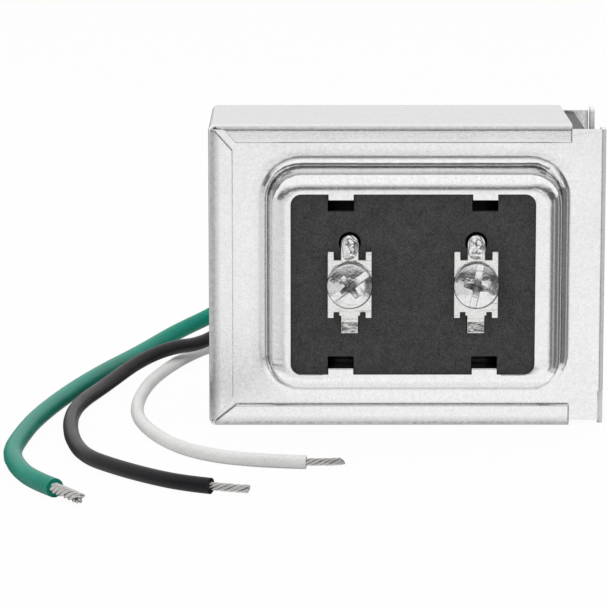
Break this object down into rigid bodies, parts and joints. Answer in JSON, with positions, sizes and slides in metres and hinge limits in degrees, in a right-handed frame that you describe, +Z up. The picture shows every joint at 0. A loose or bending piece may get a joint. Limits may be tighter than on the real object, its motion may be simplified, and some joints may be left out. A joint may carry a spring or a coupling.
{
  "type": "doorbell transformer",
  "caption": "Boxed bell transformer: laminated core clamped between drawn steel covers by a folded wrap, screw terminals in front, hub and mains leads behind.",
  "frame": {"origin": "on the base, under the middle of the body without its free leads", "axes": "+Z up, -Y towards the terminal side, +Y along the mounting hub, +X to the right seen from the terminals"},
  "size_m": [0.0892, 0.129, 0.0458],
  "materials": {
    "galvanised_steel": "bright zinc-plated sheet, softly mirror-like",
    "terminal_plate": "bright nickel plate",
    "screw": "bright zinc plate",
    "solder": "bright solder, lumpy",
    "board": "matt black laminate, fine grain",
    "lamination": "blued silicon steel",
    "bobbin": "black nylon",
    "copper_wire": "enamelled copper",
    "tape": "black cloth tape",
    "fuse": "moulded resin",
    "hub": "zinc die casting",
    "bushing": "black nylon",
    "splice": "tinned crimp sleeve",
    "green_insulation": "satin PVC",
    "black_insulation": "satin PVC",
    "white_insulation": "satin PVC",
    "tinned_strands": "tinned copper strands"
  },
  "bodies": {
    "root": {"case_wrap": "galvanised_steel", "front_cover": "galvanised_steel", "rear_cover": "galvanised_steel", "ground_lug": "galvanised_steel", "ground_rivet": "galvanised_steel", "terminal_left": "terminal_plate", "terminal_right": "terminal_plate", "terminal_screws": "screw", "solder_joints": "solder", "terminal_board": "board", "core_e_stack": "lamination", "core_i_stack": "lamination", "bobbin": "bobbin", "primary_winding": "copper_wire", "secondary_winding": "copper_wire", "secondary_leads": "copper_wire", "primary_tape": "tape", "secondary_tape": "tape", "thermal_fuse": "fuse", "mounting_hub": "hub", "lead_bushing": "bushing", "lead_splices": "splice", "lead_green": "green_insulation", "tail_green": "green_insulation", "lead_black": "black_insulation", "tail_black": "black_insulation", "lead_white": "white_insulation", "tail_white": "white_insulation", "strands_green": "tinned_strands", "strands_black": "tinned_strands", "strands_white": "tinned_strands"}
  },
  "joints": []
}
